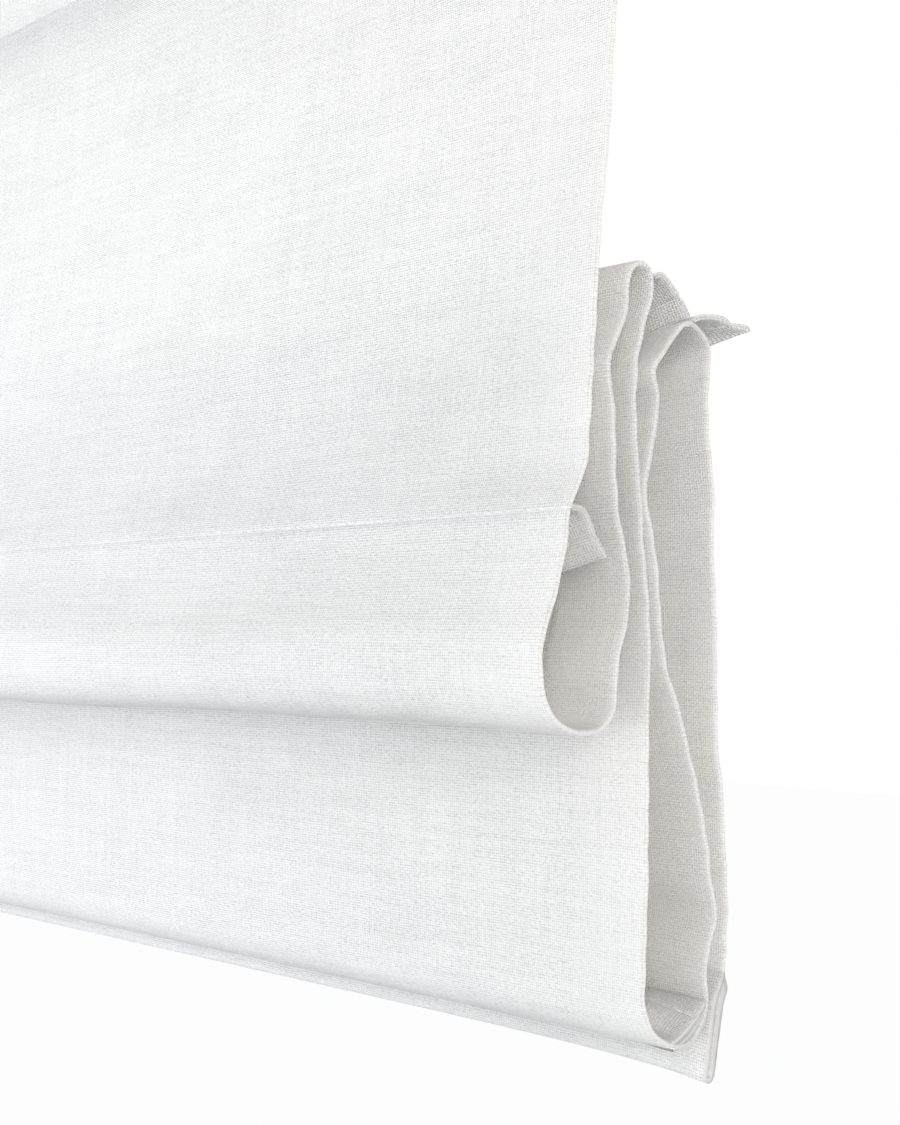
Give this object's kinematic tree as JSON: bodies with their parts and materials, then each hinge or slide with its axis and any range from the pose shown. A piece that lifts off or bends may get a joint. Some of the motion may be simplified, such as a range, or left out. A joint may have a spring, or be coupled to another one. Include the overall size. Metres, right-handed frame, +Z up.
{
  "type": "roman blind",
  "caption": "Roman blind in slub linen-look cloth, partly raised, with rod pockets on its back, a weighted hem and a slim headrail with cord drums.",
  "frame": {"origin": "middle of the four bracket screw holes, on the brackets' top face", "axes": "+X across the blind to the right as seen from the room, +Y towards the window behind it, +Z up"},
  "size_m": [0.6, 0.0776, 0.6705],
  "materials": {
    "cloth": "white slub linen-look plain weave, matt",
    "tape": "white hook and loop tape",
    "rail": "white powder coat, satin",
    "moulding": "white moulded plastic, fine texture",
    "housing": "pale grey moulded plastic, fine texture",
    "spring_steel": "zinc-plated pressed steel",
    "shaft_steel": "bright drawn steel",
    "bar_steel": "white painted flat bar",
    "glass_fibre": "off-white glass-fibre rod, fine lengthwise grain",
    "clear_plastic": "milky clear plastic"
  },
  "bodies": {
    "headrail_and_cloth": {"fabric": "cloth", "headrail": "rail", "end_cap_left": "moulding", "end_cap_right": "moulding", "bracket_left": "spring_steel", "bracket_right": "spring_steel", "hook_tape": "tape", "loop_tape": "tape", "spring_motor": "housing", "lift_lock": "housing", "drum_cradle_left": "moulding", "cord_outlet_left": "moulding", "drum_cradle_centre": "moulding", "cord_outlet_centre": "moulding", "drum_cradle_right": "moulding", "cord_outlet_right": "moulding", "rod_1": "glass_fibre", "rod_tips_1": "clear_plastic"},
    "lift_spindle": {"lift_shaft": "shaft_steel", "cord_drum_left": "moulding", "cord_drum_centre": "moulding", "cord_drum_right": "moulding"},
    "upper_rods": {"rod_2": "glass_fibre", "rod_tips_2": "clear_plastic", "rings_2": "clear_plastic", "rod_3": "glass_fibre", "rod_tips_3": "clear_plastic"},
    "middle_rods": {"rod_4": "glass_fibre", "rod_tips_4": "clear_plastic", "rings_4": "clear_plastic", "rod_5": "glass_fibre", "rod_tips_5": "clear_plastic"},
    "lower_rods": {"rod_6": "glass_fibre", "rod_tips_6": "clear_plastic", "rings_6": "clear_plastic", "bottom_bar": "bar_steel"}
  },
  "joints": [
    {"name": "lift_upper_rods", "type": "slide", "parent": "headrail_and_cloth", "child": "upper_rods", "axis": [0, 0.1027, 0.9947], "range_m": [0, 0.31]},
    {"name": "lift_middle_rods", "type": "slide", "parent": "upper_rods", "child": "middle_rods", "axis": [0, 0.094, 0.9956], "range_m": [-0.233, 0.115], "deforming": ["fabric"]},
    {"name": "lift_lower_rods", "type": "slide", "parent": "middle_rods", "child": "lower_rods", "axis": [0, 0, 1], "range_m": [-0.348, 0]},
    {"name": "spindle_turn", "type": "hinge", "parent": "headrail_and_cloth", "child": "lift_spindle", "pos_m": [0, 0, -0.0185], "axis": [1, 0, 0], "range_deg": [-830.8, 1675.9]}
  ],
  "couplings": [
    {"joint": "spindle_turn", "follows": "lift_middle_rods", "rad_per_m": -125}
  ]
}
